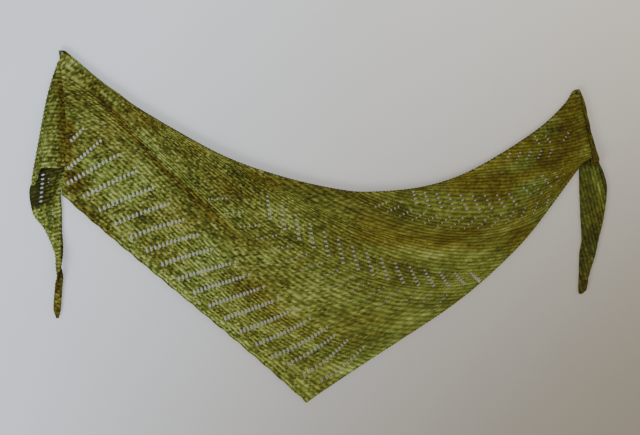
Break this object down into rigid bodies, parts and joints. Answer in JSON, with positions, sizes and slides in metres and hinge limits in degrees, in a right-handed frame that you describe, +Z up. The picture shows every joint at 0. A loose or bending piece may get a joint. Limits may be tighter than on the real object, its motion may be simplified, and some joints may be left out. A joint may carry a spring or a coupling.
{
  "type": "lace scarf on two wall pins",
  "caption": "Hand-knitted asymmetric triangular lace scarf, hung by its top edge from two plain wall pins so that both ends hang down beside it.",
  "frame": {"origin": "centre of the left wall pin's back face, on the plane of the wall", "axes": "+X along the wall towards the right pin, +Y into the wall, so the scarf's front faces -Y, +Z up"},
  "size_m": [1.0433, 0.0258, 0.6356],
  "materials": {
    "hand_dyed_yarn": "matt garter knit in variegated hand-dyed green and olive yarn",
    "pin_steel": "satin"
  },
  "bodies": {
    "root": {"border_lace": "hand_dyed_yarn", "body_lower": "hand_dyed_yarn", "body_upper": "hand_dyed_yarn", "left_turn": "hand_dyed_yarn", "right_turn": "hand_dyed_yarn", "left_tail": "hand_dyed_yarn", "right_tail": "hand_dyed_yarn", "left_pin": "pin_steel", "right_pin": "pin_steel"}
  },
  "joints": []
}
